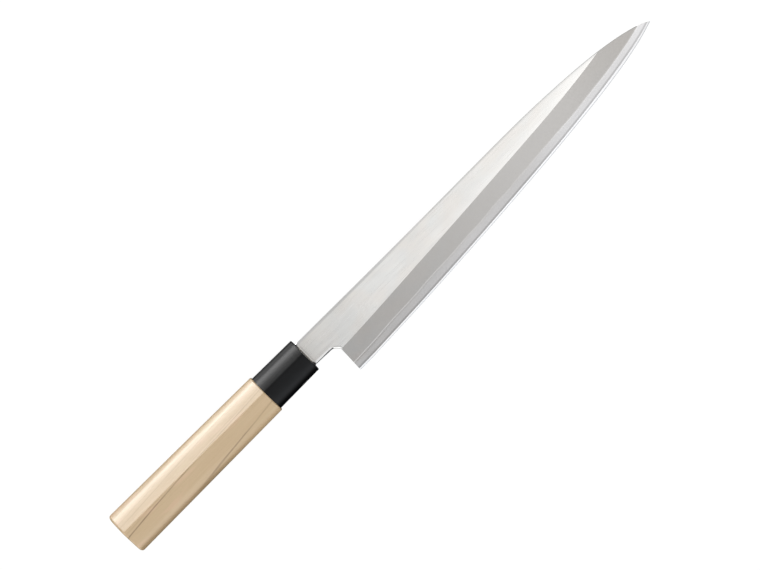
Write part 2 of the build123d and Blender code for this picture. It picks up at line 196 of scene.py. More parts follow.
def chain_of_neck():
    """Points and inward normals from the spine's shoulder round the neck and down the heel."""
    corners = [(SHOULDER, SPINE[0][1]), NECK_FOOT, NECK_END, NOTCH_END, HEEL_FOOT]
    rounds = [0.0, 1.3, 2.4, 0.9, 0.0]
    out = []
    start = corners[0]
    for i in range(1, 5):
        q = corners[i]
        a = unit((corners[i - 1][0] - q[0], corners[i - 1][1] - q[1]))
        stop, arc = q, []
        if rounds[i]:
            b = unit((corners[i + 1][0] - q[0], corners[i + 1][1] - q[1]))
            half = math.acos(max(-1.0, min(1.0, a[0] * b[0] + a[1] * b[1]))) / 2
            reach = rounds[i] / math.tan(half)
            stop, leave = (q[0] + a[0] * reach, q[1] + a[1] * reach), (q[0] + b[0] * reach, q[1] + b[1] * reach)
            m = unit((a[0] + b[0], a[1] + b[1]))
            centre = (q[0] + m[0] * rounds[i] / math.sin(half), q[1] + m[1] * rounds[i] / math.sin(half))
            t0 = math.atan2(stop[1] - centre[1], stop[0] - centre[0])
            t1 = math.atan2(leave[1] - centre[1], leave[0] - centre[0])
            turn = (t1 - t0 + math.pi) % (2 * math.pi) - math.pi
            sign = 1.0 if turn < 0 else -1.0  # the chain runs with the steel on its left
            steps = max(4, int(abs(turn) / math.radians(6.0)))
            for k in range(1, steps):
                t = t0 + turn * k / steps
                arc.append((
                    (centre[0] + rounds[i] * math.cos(t), centre[1] + rounds[i] * math.sin(t)),
                    (sign * math.cos(t), sign * math.sin(t)),
                ))
        along = unit((stop[0] - start[0], stop[1] - start[1]))
        normal = (-along[1], along[0])
        length = math.hypot(stop[0] - start[0], stop[1] - start[1])
        steps = max(1, int(round(length / 0.8)))
        for k in range(steps + 1):
            p = (start[0] + (stop[0] - start[0]) * k / steps, start[1] + (stop[1] - start[1]) * k / steps)
            out.append((p, normal))
        out += arc
        start = (leave if rounds[i] else q)
    return out


def insert(chain, axis, value, first=True):
    """The chain with one more point where it passes a value of x (axis 0) or y (axis 1)."""
    order = range(len(chain) - 1) if first else range(len(chain) - 2, -1, -1)
    for i in order:
        (p, n), (q, m) = chain[i], chain[i + 1]
        if abs(p[axis] - value) < 1e-4 or abs(q[axis] - value) < 1e-4:
            near = i if abs(p[axis] - value) < 1e-4 else i + 1
            p, n = chain[near]
            moved = (value, p[1]) if axis == 0 else (p[0], value)
            return chain[:near] + [(moved, n)] + chain[near + 1:]
        if (p[axis] - value) * (q[axis] - value) < 0:
            f = (value - p[axis]) / (q[axis] - p[axis])
            point = [p[0] + f * (q[0] - p[0]), p[1] + f * (q[1] - p[1])]
            point[axis] = value
            normal = unit((n[0] + f * (m[0] - n[0]), n[1] + f * (m[1] - n[1])))
            return chain[:i + 1] + [(tuple(point), normal)] + chain[i + 1:]
    return chain


ROUND_TURNS = [math.radians(a) for a in (15, 30, 45, 60, 75, 90)]
BACK_TURNS = [math.radians(a) for a in (22.5, 45, 67.5, 90)]


def heel_x(y):
    return NOTCH_END[0] + (y - NOTCH_END[1]) / (HEEL_FOOT[1] - NOTCH_END[1]) * (HEEL_FOOT[0] - NOTCH_END[0])


steel_start = root(lambda y: y - steel_y(heel_x(y)), -20.5, -17.0)
koba_start = root(lambda y: y - edge_y(heel_x(y)) - koba_w(heel_x(y)), -23.0, -21.0)

chain = chain_of_neck()


def crossing(turn):
    """Where the rounded rim, at this turn of its arc, runs out into the bevel, as (point, index in the chain)."""
    d, z = NECK_ROUND * (1 - math.cos(turn)), NECK_ROUND * (1 - math.sin(turn))
    last = None
    for i, (p, n) in enumerate(chain):
        if p[0] < 12.5 or p[1] > -8.0:
            continue
        q = (p[0] + n[0] * d, p[1] + n[1] * d)
        f = bevel_z(*q) - (thickness(q[0]) - z)
        if last and f < 0 <= last[1]:
            w = last[1] / (last[1] - f)
            return (last[0][0] + w * (q[0] - last[0][0]), last[0][1] + w * (q[1] - last[0][1])), i
        last = (q, f)


rim_end = crossing(0.0)[0]
for axis, value in ((1, SPINE[0][1] - SPINE_CHAMFER), (0, SCARF_X0), (0, SCARF_X1)):
    chain = insert(chain, axis, value)
for value in (rim_end[1], steel_start, koba_start):
    chain = insert(chain, 1, value, first=False)
clean = [chain[0]]
for item in chain[1:]:
    if math.hypot(item[0][0] - clean[-1][0][0], item[0][1] - clean[-1][0][1]) > 0.02:
        clean.append(item)
chain = clean
# the points that other lines end on
keep = [steel_start, koba_start, rim_end[1], SPINE[0][1] - SPINE_CHAMFER]
segments = np.array([[*chain[i][0], *chain[i + 1][0]] for i in range(len(chain) - 1)])


def chain_distance(x, y):
    if x > 18.0:
        return 9.0
    a, b = segments[:, :2], segments[:, 2:]
    ab = b - a
    t = np.clip(((np.array([x, y]) - a) * ab).sum(1) / (ab**2).sum(1), 0, 1)
    return float(np.sqrt(((a + ab * t[:, None] - (x, y)) ** 2).sum(1).min()))


def rim_radius(x, y):
    """The rounding of the rim: full under the neck and down the heel, small along the shoulder."""
    if x > 3.0:
        return NECK_ROUND
    w = min(1.0, max(0.0, (-4.6 - y) / 1.2))
    return 0.34 + (NECK_ROUND - 0.34) * w * w * (3 - 2 * w)


def top_z(x, y):
    z = min(faces_z(x, y), break_z(x) + spine_y(x) - y)
    d, r = chain_distance(x, y), rim_radius(x, y)
    if d < r:
        z = min(z, thickness(x) - r + math.sqrt(max(0.0, r**2 - (r - d) ** 2)))
    return max(z, EDGE_LAND)


def hollow_at(x):
    low, high = edge_y(x) + HOLLOW_RIM, spine_y(x) - HOLLOW_RIM
    half = max(0.3, (high - low) / 2)
    full = HOLLOW_DEPTH * (half / 12.0) ** 1.2
    return (low + high) / 2, (half**2 + full**2) / (2 * full), full * hollow_fade(x)


def back_z(x, y):
    z = 0.0
    chamfer = min(SPINE_CHAMFER, 0.4 * break_z(x))
    z = max(z, chamfer - (spine_y(x) - y))
    d = chain_distance(x, y)
    if d < HEEL_ROUND:
        z = max(z, HEEL_ROUND - math.sqrt(max(0.0, HEEL_ROUND**2 - (HEEL_ROUND - d) ** 2)))
    if 12.0 < x < 214.0:
        middle, radius, crown = hollow_at(x)
        if crown > 0 and abs(y - middle) < radius:
            z = max(z, crown - radius + math.sqrt(radius**2 - (y - middle) ** 2))
    return min(z, top_z(x, y) - 0.02)


# ---------------------------------------------------------------- plans: outline, feature lines and a grid between them
class Plan:
    def __init__(self, outline):
        self.points, self.index, self.edges = [], {}, set()
        self.rim = [self.add(p) for p in outline]
        self.join(self.rim + self.rim[:1])

    def add(self, p):
        key = (round(p[0], 4), round(p[1], 4))
        if key not in self.index:
            self.index[key] = len(self.points)
            self.points.append(key)
        return self.index[key]

    def join(self, ids):
        for a, b in zip(ids, ids[1:]):
            if a != b:
                self.edges.add((min(a, b), max(a, b)))

    def line(self, points):
        self.join([self.add(p) for p in points])

    def solve(self):
        verts, _, faces, origins, _, _ = delaunay_2d_cdt(
            [Vector(p) for p in self.points], sorted(self.edges), [], 1, 1e-6
        )
        where = {i: k for k, ids in enumerate(origins) for i in ids}
        return [(v[0], v[1]) for v in verts], [tuple(f) for f in faces], [where[i] for i in self.rim]


def stations(a, b, special=()):
    """x values from a to b, denser at the neck and at the tip, with the special ones exact."""
    xs, x = [], SHOULDER
    while x < X_END:
        xs.append(x)
        x += 0.8 if x < 16 else 1.6 if x < 190 else 0.8 if x < 218 else 0.35
    special = [s for s in special if a <= s <= b] + [a, b]
    gap = 0.12
    xs = [x for x in xs if a < x < b and all(abs(x - s) > gap for s in special)]
    return sorted(set(xs) | set(special))


def rows(plan, xs, lines, pitch, keep_off):
    """Grid points between neighbouring lines, each given as y over x, at about the pitch."""
    for x in xs:
        ys = sorted(f(x) for f in lines)
        for a, b in zip(ys, ys[1:]):
            n = int(round((b - a) / pitch))
            for k in range(1, n):
                y = a + (b - a) * k / n
                if chain_distance(x, y) > keep_off:
                    plan.add((x, y))


weld_inner = root(lambda x: steel_y(x) - inner_y(x), 205.0, 222.0)  # the weld reaches the break along the spine
weld_outer = root(lambda x: weld_z(x) - break_z(x), weld_inner, 223.5)  # and the outline
ridge_out = root(lambda x: ridge_y(x) - inner_y(x), 190.0, 205.0)
koba_out = root(lambda x: edge_y(x) + koba_w(x) - inner_y(x), 212.0, X_END)
top_ds = [NECK_ROUND * (1 - math.cos(t)) for t in ROUND_TURNS]
back_ds = [HEEL_ROUND * (1 - math.cos(t)) for t in BACK_TURNS]


def band_y(x):
    """The weld across the break along the spine."""
    return spine_y(x) - (weld_z(x) - break_z(x))


def spine_points(a, b):
    special = [SHOULDER + d for d in top_ds + back_ds] + [SCARF_X0, SCARF_X1, weld_outer]
    return [(x, spine_y(x)) for x in stations(a, b, special)]


def weld_points():
    """The weld as seen on the bevelled side, from the spine's outline to the heel."""
    out = [(x, band_y(x)) for x in np.linspace(weld_outer, weld_inner, 4)[1:-1]]
    first = heel_x(steel_start)
    out += [(x, steel_y(x)) for x in reversed(stations(first, weld_inner))]
    out[-1] = (heel_x(steel_start), steel_start)
    return out


# soft steel: flat, spine, neck and the bevel down to the weld
steel_index = min(range(len(chain)), key=lambda i: abs(chain[i][0][1] - steel_start) + (chain[i][0][0] < 12))
soft_outline = spine_points(SHOULDER, weld_outer) + weld_points()[:-1] + [
    item[0] for item in reversed(chain[1:steel_index + 1])
]
soft_top, soft_under = Plan(soft_outline), Plan(soft_outline)
xs = stations(SHOULDER, weld_inner, [ridge_out])
soft_top.line([(x, inner_y(x)) for x in xs])
crease = []
for turn, d in zip(ROUND_TURNS, top_ds):
    stop, index = crossing(turn)
    path = [(SHOULDER + d, spine_y(SHOULDER + d))]
    path += [(p[0] + n[0] * d, p[1] + n[1] * d) for p, n in chain[1:index]] + [stop]
    soft_top.line(path)
    crease.append(stop)
crease.reverse()
rim_point = min((item[0] for item in chain), key=lambda p: abs(p[1] - rim_end[1]) + (p[0] < 12) * 9)
soft_top.line(crease + [rim_point])
soft_top.line([crease[0]] + [(x, ridge_y(x)) for x in stations(crease[0][0] + 0.4, ridge_out)])
soft_top.add((weld_inner, inner_y(weld_inner)))


def neck_y(x):
    """The inner line of the rounded rim under the neck, as far as the notch."""
    best = None
    for (p, n), (q, m) in zip(chain, chain[1:]):
        a = (p[0] + n[0] * NECK_ROUND, p[1] + n[1] * NECK_ROUND)
        b = (q[0] + m[0] * NECK_ROUND, q[1] + m[1] * NECK_ROUND)
        if a[0] <= x <= b[0] and a[1] < 0:
            best = a[1] + (x - a[0]) / max(1e-9, b[0] - a[0]) * (b[1] - a[1])
    return best


for d in (0.7, 1.05, 1.5):  # finer rows by the spine
    soft_top.line([(x, inner_y(x) - d) for x in stations(2.0, 190.0)])
neck_xs = [x for x in stations(SHOULDER, 14.6) if x > 1.9]
rows(soft_top, neck_xs, [lambda x: neck_y(x) if neck_y(x) is not None else -9.5, lambda x: inner_y(x) - 1.5], 1.5, NECK_ROUND + 0.35)
main_xs = [x for x in stations(14.6, weld_inner) if x > 15.0]
rows(soft_top, [x for x in main_xs if x < 190.0], [ridge_y, lambda x: inner_y(x) - 1.5], 1.8, NECK_ROUND + 0.3)
rows(soft_top, [x for x in main_xs if 190.0 <= x < ridge_out - 0.2], [ridge_y, inner_y], 1.8, NECK_ROUND + 0.3)
rows(soft_top, [x for x in main_xs if x < ridge_out - 0.2], [steel_y, ridge_y], 1.8, NECK_ROUND + 0.3)
rows(soft_top, [x for x in main_xs if x >= ridge_out], [steel_y, inner_y], 1.8, NECK_ROUND + 0.3)
# underneath, its thinned start lies open on the back of the neck
lip = {}
for x in (SCARF_X0, SCARF_X1):
    low = next(p for p, _ in chain if abs(p[0] - x) < 1e-3 and p[1] < 0)
    lip[x] = low
    soft_under.line([(x, spine_y(x)), low])
soft_under.line([(x, spine_y(x) - SPINE_CHAMFER) for x in stations(SHOULDER, SCARF_X1, [SCARF_X0])])
lip_index = next(i for i, (p, _) in enumerate(chain) if p == lip[SCARF_X1])
for d in back_ds:
    path = [(SHOULDER + d, spine_y(SHOULDER + d))]
    path += [(p[0] + n[0] * d, p[1] + n[1] * d) for p, n in chain[1:lip_index + 1]]
    path[-1] = (SCARF_X1, path[-1][1])
    soft_under.line(path)
rows(soft_under, [x for x in stations(SHOULDER, SCARF_X1) if x > 1.2], [lambda x: -6.3, lambda x: spine_y(x) - 0.3], 1.8, 0.9)
rows(soft_under, [x for x in stations(14.6, weld_inner, ())[::3]], [steel_y, spine_y], 3.5, 1.0)

# cutting steel: everything under the weld
mouth = [(SCARF_X0, lip[SCARF_X0][1])] + [(SCARF_X0, lip[SCARF_X0][1] + d) for d in back_ds]
mouth += [(SCARF_X0, y) for y in np.linspace(lip[SCARF_X0][1] + 1.2, spine_y(SCARF_X0) - 1.2, 7)]
mouth += [(SCARF_X0, spine_y(SCARF_X0) - SPINE_CHAMFER)]
scarf_index = next(i for i, (p, _) in enumerate(chain) if p == lip[SCARF_X0])
tip_end = [(X_END, spine_y(X_END)), (X_END, inner_y(X_END)), (X_END, edge_y(X_END))]
edge_points = [(x, edge_y(x)) for x in reversed(stations(HEEL_FOOT[0], X_END, [HEEL_FOOT[0] + d for d in back_ds]))]
core_outline = (
    spine_points(SCARF_X0, X_END)[:-1] + tip_end + edge_points[1:-1]
    + [item[0] for item in reversed(chain[scarf_index + 1:])] + mouth
)
core_top, core_under = Plan(core_outline), Plan(core_outline)
core_top.line([(weld_outer, spine_y(weld_outer))] + weld_points())
core_top.line([(x, inner_y(x)) for x in stations(weld_inner, X_END, [koba_out])])
koba_first = heel_x(koba_start)
koba_path = [(x, edge_y(x) + koba_w(x)) for x in stations(koba_first, koba_out)]
koba_path[0], koba_path[-1] = (koba_first, koba_start), (koba_out, inner_y(koba_out))
core_top.line(koba_path)
for d in (0.25, 0.42):  # finer rows by the very edge
    core_top.line([(x, edge_y(x) + d) for x in stations(HEEL_FOOT[0] + 0.6, 219.0)])
core_top.line([(SCARF_X1, spine_y(SCARF_X1)), lip[SCARF_X1]])
rows(core_top, [x for x in main_xs if x < weld_inner], [lambda x: edge_y(x) + koba_w(x), steel_y], 0.9, 0.35)
rows(core_top, [x for x in stations(weld_inner, koba_out) if x > weld_inner + 0.3 and x < koba_out - 0.3],
     [lambda x: edge_y(x) + koba_w(x), inner_y], 0.9, 0.35)
rows(core_top, [x for x in stations(14.6, weld_inner)][::3], [steel_y, spine_y], 3.5, 1.0)
rows(core_top, [9.0, 10.5], [lambda x: -6.5, spine_y], 3.5, 0.6)

for d in back_ds:
    path = [(SCARF_X0, lip[SCARF_X0][1] + d)]
    path += [(p[0] + n[0] * d, p[1] + n[1] * d) for p, n in chain[scarf_index + 1:-1]]
    path += [(HEEL_FOOT[0] + d, edge_y(HEEL_FOOT[0] + d))]
    core_under.line(path)
core_under.line([(x, spine_y(x) - min(SPINE_CHAMFER, 0.4 * break_z(x))) for x in stations(SCARF_X0, X_END - 0.4)])
hollow_a = root(hollow_fade, 12.0, 15.5) + 0.02
hollow_b = root(hollow_fade, 209.0, 214.0) - 0.02


def hollow_half(x):
    _, radius, crown = hollow_at(x)
    return math.sqrt(max(0.0, 2 * radius * crown - crown**2)) if crown > 0 else 0.0


ends = [hollow_a + 0.0008 * 2.4**k for k in range(8)] + [hollow_b - 0.0008 * 2.4**k for k in range(8)]
loop_xs = stations(hollow_a, hollow_b, ends)
upper = [(x, hollow_at(x)[0] + hollow_half(x)) for x in loop_xs]
lower = [(x, hollow_at(x)[0] - hollow_half(x)) for x in loop_xs]
core_under.line(upper + list(reversed(lower))[1:])
for x in loop_xs:
    middle, half = hollow_at(x)[0], hollow_half(x)
    if half > 0.8 and hollow_a + 0.5 < x < hollow_b - 0.5:
        n = max(2, int(round(2 * half / 1.8)))
        for k in range(1, n):
            core_under.add((x, middle - half + 2 * half * k / n))
rows(core_under, [x for x in stations(SCARF_X0, hollow_a - 0.4) if x > 8.2], [lambda x: -7.0, lambda x: spine_y(x) - 0.3], 1.8, 0.75)
rows(core_under, [x for x in stations(hollow_b + 0.4, X_END - 0.8)], [edge_y, lambda x: spine_y(x) - 0.3], 1.2, 0.5)


def solid(top, under, z_top, z_under):
    """A closed mesh from two plans that share one outline."""
    bm = bmesh.new()
    solved = [top.solve(), under.solve()]

    def key(points, t):
        return frozenset((round(points[i][0], 4), round(points[i][1], 4)) for i in t)

    # triangles without thickness that both plans have would lie on each other, so neither is made
    empty = [
        {key(points, t) for t in triangles if all(z_top(*points[i]) - z_under(*points[i]) < 0.002 for i in t)}
        for points, triangles, _ in solved
    ]
    empty = empty[0] & empty[1]

    def sheet(plan, z, turned):
        points, triangles, rim = plan
        verts = [bm.verts.new(place(x, y, BACK + z(x, y))) for x, y in points]
        for t in triangles:
            if key(points, t) in empty:
                continue
            corners = [verts[i] for i in t]
            bm.faces.new(corners[::-1] if turned else corners)
        return [verts[i] for i in rim]

    up, down = sheet(solved[0], z_top, False), sheet(solved[1], z_under, True)
    for i in range(len(up)):
        j = (i + 1) % len(up)
        if up[i] is not up[j]:
            bm.faces.new((up[i], up[j], down[j], down[i]))
    loose = [v for v in bm.verts if not v.link_faces]
    bmesh.ops.delete(bm, geom=loose, context="VERTS")
    bmesh.ops.remove_doubles(bm, verts=bm.verts, dist=2e-6)
    bmesh.ops.delete(bm, geom=[e for e in bm.edges if not e.link_faces], context="EDGES")
    bmesh.ops.delete(bm, geom=[v for v in bm.verts if not v.link_faces], context="VERTS")
    bmesh.ops.recalc_face_normals(bm, faces=bm.faces)
    mesh = bpy.data.meshes.new("blade")
    bm.to_mesh(mesh)
    bm.free()
    return mesh


def linked(name, mesh):
    ob = bpy.data.objects.new(name, mesh)
    bpy.context.scene.collection.objects.link(ob)
    return ob


def union(a, b):
    """Both closed meshes as one closed mesh."""
    first, second = linked("union_a", a), linked("union_b", b)
    cut = first.modifiers.new("union", "BOOLEAN")
    cut.operation, cut.solver, cut.object = "UNION", "EXACT", second
    bpy.context.view_layer.update()
    made = bpy.data.meshes.new_from_object(first.evaluated_get(bpy.context.evaluated_depsgraph_get()))
    for ob in (first, second):
        bpy.data.objects.remove(ob)
    return made


soft_mesh = solid(
    soft_top, soft_under, top_z,
    lambda x, y: min(max(weld_z(x), back_z(x, y)), top_z(x, y)),
)  # fmt: skip
core_mesh = solid(
    core_top, core_under,
    lambda x, y: max(min(weld_z(x), top_z(x, y)), back_z(x, y) + 0.004),
    back_z,
)  # fmt: skip


# ---------------------------------------------------------------- rings of points: tang, handle and ferrule
def rounded_rectangle(half_y, half_z, corner, count):
    """Points round a rectangle with rounded corners, from +y through +z."""
    out = []
    for cy, cz, start in ((1, 1, 0), (-1, 1, 90), (-1, -1, 180), (1, -1, 270)):
        for k in range(count):
            a = math.radians(start + 90 * k / (count - 1))
            out.append((cy * (half_y - corner) + corner * math.cos(a), cz * (half_z - corner) + corner * math.sin(a)))
    return out


def ray_onto(ring, angle):
    """Where a ray from the middle at this angle leaves a convex ring."""
    c, s = math.cos(angle), math.sin(angle)
    for (ay, az), (by, bz) in zip(ring, ring[1:] + ring[:1]):
        dy, dz = by - ay, bz - az
        det = c * dz - s * dy
        if abs(det) < 1e-12:
            continue
        t, u = (ay * dz - az * dy) / det, (ay * s - az * c) / det
        if t > 0 and -1e-9 <= u <= 1 + 1e-9:
            return (t * c, t * s)
    raise ValueError("the ring doesn't go round its middle")


def skin(rings, closed_loop=False, caps=(True, True)):
    """A mesh through rings of equal length, each a list of (x, y, z)."""
    verts = [place(*p) for ring in rings for p in ring]
    n, faces = len(rings[0]), []
    pairs = list(zip(range(len(rings)), range(1, len(rings))))
    if closed_loop:
        pairs.append((len(rings) - 1, 0))
    for a, b in pairs:
        for k in range(n):
            m = (k + 1) % n
            faces.append((a * n + k, a * n + m, b * n + m, b * n + k))
    if not closed_loop:
        if caps[0]:
            faces.append(tuple(reversed(range(n))))
        if caps[1]:
            faces.append(tuple((len(rings) - 1) * n + k for k in range(n)))
    mesh = bpy.data.meshes.new("rings")
    mesh.from_pydata(verts, [], faces)
    bm = bmesh.new()
    bm.from_mesh(mesh)
    bmesh.ops.recalc_face_normals(bm, faces=bm.faces)
    bm.to_mesh(mesh)
    bm.free()
    return mesh


tang_rings = []
for x in (2.0, 0.2, -20.0, -40.0, -60.0, -80.0, -88.0):
    f = (2.0 - x) / 90.0
    tang_rings.append([(x, y, z) for y, z in rounded_rectangle(5.0 - 2.4 * f, 1.5 - 0.5 * f, 0.4, 5)])
soft_mesh = union(soft_mesh, skin(tang_rings))

WOOD_BUTT, WOOD_FRONT, RIDGE_Y = -118.00, -25.30, 0.95


def bezier(points, count):
    """count points along a cubic, the last one left out."""
    out = []
    for k in range(count):
        t = k / count
        a, b, c, d = (1 - t) ** 3, 3 * t * (1 - t) ** 2, 3 * t * t * (1 - t), t**3
        out.append(tuple(a * points[0][i] + b * points[1][i] + c * points[2][i] + d * points[3][i] for i in (0, 1)))
    return out


def chestnut(half, ridge, back, slope, soft, flat, side):
    """The handle's section: two flats that meet at a softened ridge, and a rounded back."""
    fall = math.radians(slope)
    peak = ridge + soft * (1 / math.cos(fall) - 1)
    inset = soft * math.sin(fall)
    shoulder = peak - inset * math.tan(fall)
    run, other = flat * (half - RIDGE_Y), flat * (half + RIDGE_Y)
    out = bezier([
        (half, 0), (half, side * ridge), (RIDGE_Y + run, peak - run * math.tan(fall)), (RIDGE_Y + inset, shoulder)
    ], 26)  # fmt: skip
    centre = ridge - soft
    for k in range(8):
        a = fall - 2 * fall * k / 8
        out.append((RIDGE_Y + soft * math.sin(a), centre + soft * math.cos(a)))
    out += bezier([
        (RIDGE_Y - inset, shoulder), (RIDGE_Y - other, peak - other * math.tan(fall)), (-half, side * ridge), (-half, 0)
    ], 26)  # fmt: skip
    out += bezier([(-half, 0), (-half, -0.62 * back), (-0.60 * half, -back), (0, -back)], 18)
    out += bezier([(0, -back), (0.60 * half, -back), (half, -0.62 * back), (half, 0)], 18)
    return out


def wood_section(x):
    f = (x - WOOD_BUTT) / (WOOD_FRONT - WOOD_BUTT)
    return chestnut(11.30 - 0.82 * f, 9.60 - 0.80 * f, 9.30 - 0.80 * f, 17.0, 1.60, 0.85, 0.75)


def ferrule_section(x):
    f = (x - WOOD_FRONT) / (0.0 - WOOD_FRONT)
    return chestnut(9.60 - 0.28 * f, 8.15 - 0.25 * f, 7.95 - 0.25 * f, 14.0, 3.00, 0.75, 0.65)


def inward(section, d):
    """The section shrunk by d along its normals."""
    out, n = [], len(section)
    for k in range(n):
        (ay, az), (by, bz) = section[k - 1], section[(k + 1) % n]
        ty, tz = by - ay, bz - az
        length = math.hypot(ty, tz)
        out.append((section[k][0] - d * tz / length, section[k][1] + d * ty / length))
    return out


def ring(x, section):
    return [(x, y, z) for y, z in section]


def socket_section(x, like):
    f = -x / 90.5
    shape = rounded_rectangle(5.60 - 2.40 * f, 2.30 - 0.50 * f, 1.6, 9)
    return [ray_onto(shape, math.atan2(z, y)) for y, z in like]


def oval(shrink, like):
    out = []
    for y, z in like:
        a = math.atan2(z, y)
        hy, hz = 7.40 - shrink, 5.70 - shrink
        r = 1 / math.hypot(math.cos(a) / hy, math.sin(a) / hz)
        out.append((r * math.cos(a), r * math.sin(a)))
    return out


butt, front = wood_section(WOOD_BUTT), wood_section(WOOD_FRONT)
rings = []
for share in (0.12, 0.45, 0.80):
    rings.append(ring(WOOD_BUTT, [(0.4 + (y - 0.4) * share, z * share) for y, z in inward(butt, 1.2)]))
for k in range(9):  # the rounded rim of the butt
    a = math.pi / 2 * k / 8
    x = WOOD_BUTT + 1.2 * (1 - math.sin(a))
    rings.append(ring(x, inward(wood_section(x), 1.2 * (1 - math.cos(a)))))
rings[3:] = reversed(rings[3:])
for x in [-116.4, -115.4, -113.5] + [float(x) for x in range(-111, -27, 3)] + [-27.0, -26.3, -25.9]:
    rings.append(ring(x, wood_section(x)))
rings.append(ring(WOOD_FRONT - 0.40, wood_section(WOOD_FRONT - 0.40)))  # and the broken edge of the shoulder
rings.append(ring(WOOD_FRONT, inward(front, 0.40)))
rings.append(ring(WOOD_FRONT, inward(front, 1.1)))
rings.append(ring(WOOD_FRONT, oval(0.0, front)))
for x in (-24.0, -18.0, -12.0, -7.0):
    rings.append(ring(x, oval(0.0, front)))
rings.append(ring(-6.4, oval(0.0, front)))
rings.append(ring(-5.9, oval(0.5, front)))
for x in (-5.9, -6.5, -15.0, -30.0, -45.0, -60.0, -75.0, -89.0, -90.5):
    rings.append(ring(x, socket_section(x, front)))
handle_mesh = skin(rings)

mouth_like = ferrule_section(0.0)
rings = [ring(0.0, socket_section(0.0, mouth_like)), ring(0.0, inward(mouth_like, 0.9))]
for k in range(5):  # the broken front rim
    a = math.pi / 2 * k / 4
    x = -0.25 * (1 - math.cos(a))
    rings.append(ring(x, inward(ferrule_section(x), 0.25 * (1 - math.sin(a)))))
for x in [-0.5, -1.0, -2.0] + [float(x) for x in range(-4, -24, -2)] + [-23.8, -24.8]:
    rings.append(ring(x, ferrule_section(x)))
rear = ferrule_section(WOOD_FRONT)
rings += [ring(WOOD_FRONT, rear), ring(WOOD_FRONT, oval(0.0, rear))]
for x in (-20.0, -13.0, -6.5, -5.6):
    rings.append(ring(x, oval(0.0, rear)))
rings += [ring(-5.6, socket_section(-5.6, mouth_like)), ring(-3.0, socket_section(-3.0, mouth_like))]
ferrule_mesh = skin(rings, closed_loop=True)


# ---------------------------------------------------------------- materials
class Net:
    """A material's nodes, made one call each."""

    def __init__(self, tree):
        self.tree = tree
        tree.nodes.clear()

    def node(self, kind, inputs=None, **settings):
        made = self.tree.nodes.new(kind)
        for key, value in settings.items():
            setattr(made, key, value)
        for key, value in (inputs or {}).items():
            socket = made.inputs[key]
            if isinstance(value, bpy.types.NodeSocket):
                self.tree.links.new(value, socket)
            else:
                socket.default_value = value
        return made

    def maths(self, operation, a, b=None, c=None, clamp=False):
        inputs = {k: v for k, v in enumerate((a, b, c)) if v is not None}
        return self.node("ShaderNodeMath", inputs, operation=operation, use_clamp=clamp).outputs[0]

    def fit(self, value, a, b, c, d, smooth=False):
        return self.node(
            "ShaderNodeMapRange", {"Value": value, "From Min": a, "From Max": b, "To Min": c, "To Max": d},
            interpolation_type="SMOOTHSTEP" if smooth else "LINEAR",
        ).outputs[0]

    def mix(self, factor, a, b, blend="MIX"):
        made = self.node("ShaderNodeMix", data_type="RGBA", blend_type=blend)
        for index, value in ((0, factor), (6, a), (7, b)):
            if isinstance(value, bpy.types.NodeSocket):
                self.tree.links.new(value, made.inputs[index])
            else:
                made.inputs[index].default_value = (*value, 1.0) if index else value
        return made.outputs[2]

    def scaled(self, colour, factor):
        return self.node("ShaderNodeVectorMath", {0: colour, "Scale": factor}, operation="SCALE").outputs[0]

    def where(self):
        return self.node("ShaderNodeTexCoord").outputs["Object"]

    def stretched(self, scale, shift=(0.0, 0.0, 0.0), turn=(0.0, 0.0, 0.0), source=None):
        return self.node(
            "ShaderNodeMapping",
            {"Vector": source or self.where(), "Scale": scale, "Location": shift, "Rotation": turn},
        ).outputs[0]

    def noise(self, vector, scale=1.0, detail=2.0, rough=0.5, distortion=0.0):
        return self.node(
            "ShaderNodeTexNoise",
            {"Vector": vector, "Scale": scale, "Detail": detail, "Roughness": rough, "Distortion": distortion},
        ).outputs[0]

    def bump(self, height, distance, strength=1.0, normal=None):
        inputs = {"Height": height, "Distance": distance, "Strength": strength}
        if normal:
            inputs["Normal"] = normal
        return self.node("ShaderNodeBump", inputs).outputs[0]

    def surface(self, inputs):
        shader = self.node("ShaderNodeBsdfPrincipled", inputs)
        out = self.node("ShaderNodeOutputMaterial")
        self.tree.links.new(shader.outputs[0], out.inputs[0])


def material(name):
    made = bpy.data.materials.new(name)
    made.use_nodes = True
    return made, Net(made.node_tree)


def attribute(net, name):
    return net.node("ShaderNodeAttribute", attribute_name=name, attribute_type="GEOMETRY").outputs["Fac"]


def steel(name, base, rough, lines, line_scale, cloud, bump, extra=None, spread=0.04):
    """Ground steel: fine scratches, a faint cloudiness, and warm and cool patches."""
    made, net = material(name)
    scratches = net.noise(net.stretched(line_scale), detail=3.0, rough=0.6)
    patches = net.noise(net.stretched((70.0, 110.0, 110.0), (3.1, 0.4, 0.0)), detail=2.0)
    hues = net.noise(net.stretched((95.0, 150.0, 150.0), (9.7, 5.2, 1.0)), detail=1.0)
    tone = net.maths(
        "MULTIPLY",
        net.fit(scratches, 0.3, 0.7, 1.0 - lines, 1.0 + lines),
        net.fit(patches, 0.3, 0.7, 1.0 - cloud, 1.0 + cloud),
    )
    warm = tuple(c * f for c, f in zip(base, (1.012, 0.998, 0.982)))
    cool = tuple(c * f for c, f in zip(base, (0.990, 1.002, 1.006)))
    colour = net.mix(net.fit(hues, 0.35, 0.65, 0.0, 1.0), warm, cool)
    colour = net.scaled(colour, tone)
    roughness = net.fit(scratches, 0.3, 0.7, rough - spread, rough + spread)
    if extra:
        colour, roughness = extra(net, colour, roughness)
    net.surface({
        "Base Color": colour, "Metallic": 1.0, "Roughness": roughness,
        "Normal": net.bump(scratches, bump),
    })  # fmt: skip
    return made


def along_x(net):
    return net.node("ShaderNodeSeparateXYZ", {0: net.where()}).outputs[0]


